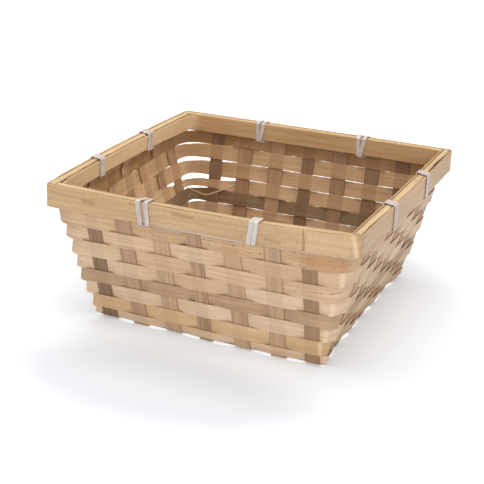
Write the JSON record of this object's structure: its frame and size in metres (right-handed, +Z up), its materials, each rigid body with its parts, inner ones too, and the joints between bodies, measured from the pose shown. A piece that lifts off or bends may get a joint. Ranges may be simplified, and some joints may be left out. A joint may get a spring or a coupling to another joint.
{
  "type": "basket",
  "caption": "Square, tapered basket plaited from flat bamboo strips, with a rim of two bamboo bands lashed on with a cane strip.",
  "frame": {"origin": "on the floor, under the middle of the square base", "axes": "+Z up out of the open top; -Y towards the front wall, which has the lapped end of the outer rim band; +X to the right"},
  "size_m": [0.2824, 0.2824, 0.1347],
  "materials": {
    "stake_bamboo": "matt, split bamboo, inner face",
    "dark_stake_bamboo": "matt, split bamboo, inner face",
    "weaver_bamboo": "satin, split bamboo",
    "speckled_weaver_bamboo": "satin, split bamboo with dark specks",
    "brown_weaver_bamboo": "satin, split bamboo",
    "yellow_weaver_bamboo": "satin, split bamboo",
    "rim_bamboo": "satin, split bamboo, outer face",
    "filler_bamboo": "matt, split bamboo",
    "binding_cane": "matt, split cane"
  },
  "bodies": {
    "root": {"stake_front_back_1": "dark_stake_bamboo", "stake_front_back_2": "stake_bamboo", "stake_front_back_3": "stake_bamboo", "stake_front_back_4": "stake_bamboo", "stake_front_back_5": "stake_bamboo", "stake_front_back_6": "stake_bamboo", "stake_front_back_7": "stake_bamboo", "stake_left_right_1": "stake_bamboo", "stake_left_right_2": "stake_bamboo", "stake_left_right_3": "stake_bamboo", "stake_left_right_4": "stake_bamboo", "stake_left_right_5": "stake_bamboo", "stake_left_right_6": "stake_bamboo", "stake_left_right_7": "stake_bamboo", "weaver_under_rim": "weaver_bamboo", "weaver_row_1": "speckled_weaver_bamboo", "weaver_row_2": "weaver_bamboo", "weaver_row_3": "weaver_bamboo", "weaver_row_4": "weaver_bamboo", "weaver_row_5": "brown_weaver_bamboo", "weaver_row_6": "weaver_bamboo", "weaver_row_7": "yellow_weaver_bamboo", "weaver_row_8": "weaver_bamboo", "rim_band_outer": "rim_bamboo", "rim_band_inner": "rim_bamboo", "rim_filler_front": "filler_bamboo", "rim_filler_right": "filler_bamboo", "rim_filler_back": "filler_bamboo", "rim_filler_left": "filler_bamboo", "rim_binding": "binding_cane"}
  },
  "joints": []
}
